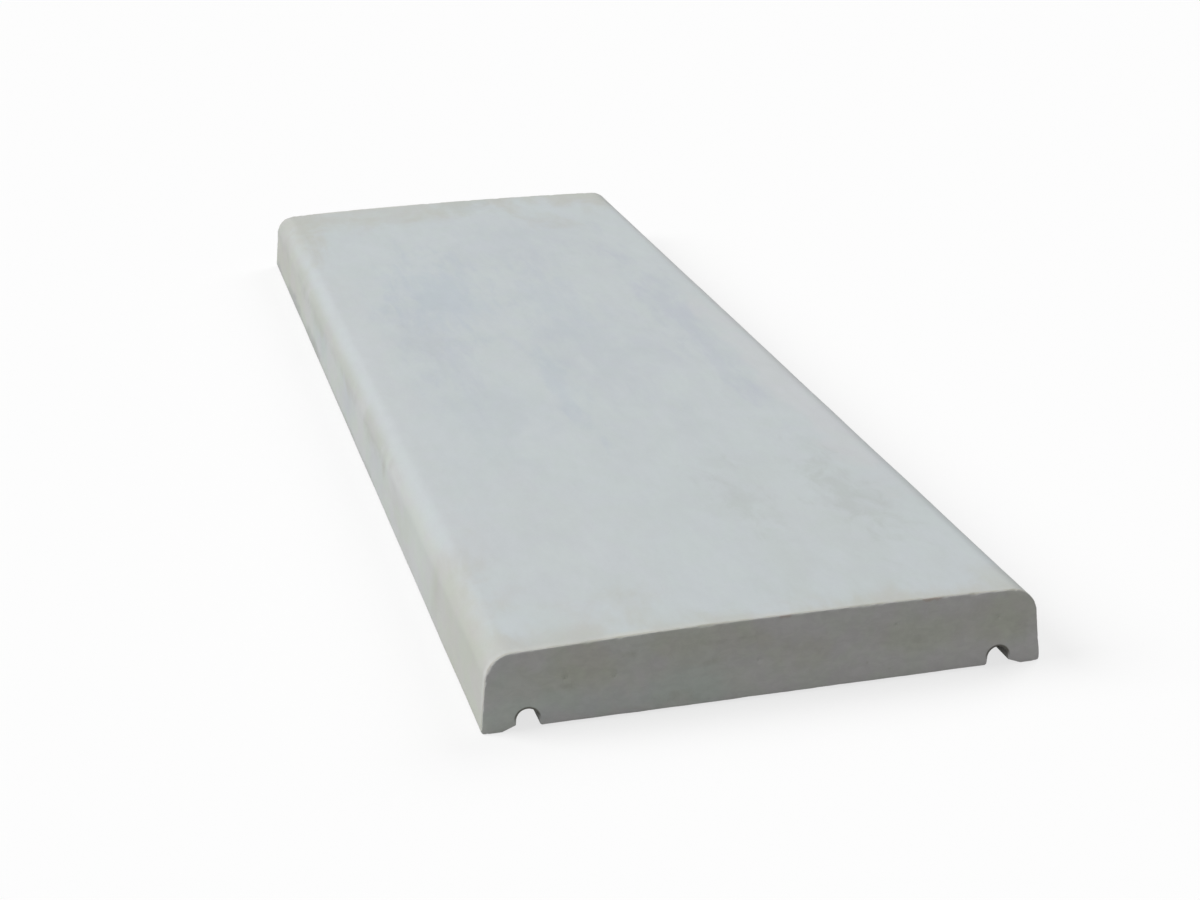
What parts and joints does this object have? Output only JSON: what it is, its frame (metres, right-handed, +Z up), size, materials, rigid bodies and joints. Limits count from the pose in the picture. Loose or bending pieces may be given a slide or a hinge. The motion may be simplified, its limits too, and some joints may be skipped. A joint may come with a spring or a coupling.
{
  "type": "wall coping",
  "caption": "Precast concrete wall coping: a straight unit with a slightly cambered top, rounded long edges, battered sides and a drip groove along the underside of each edge.",
  "frame": {"origin": "middle of the footprint, at the level of the feet of the drip lips, which is the floor that the unit lies on", "axes": "+X across the wall, +Y along the wall, +Z up out of the cambered top"},
  "size_m": [0.3, 0.9, 0.0449],
  "materials": {
    "concrete": "matt, smooth mould-cast face with faint cloudy mottling"
  },
  "bodies": {
    "root": {"coping": "concrete"}
  },
  "joints": []
}
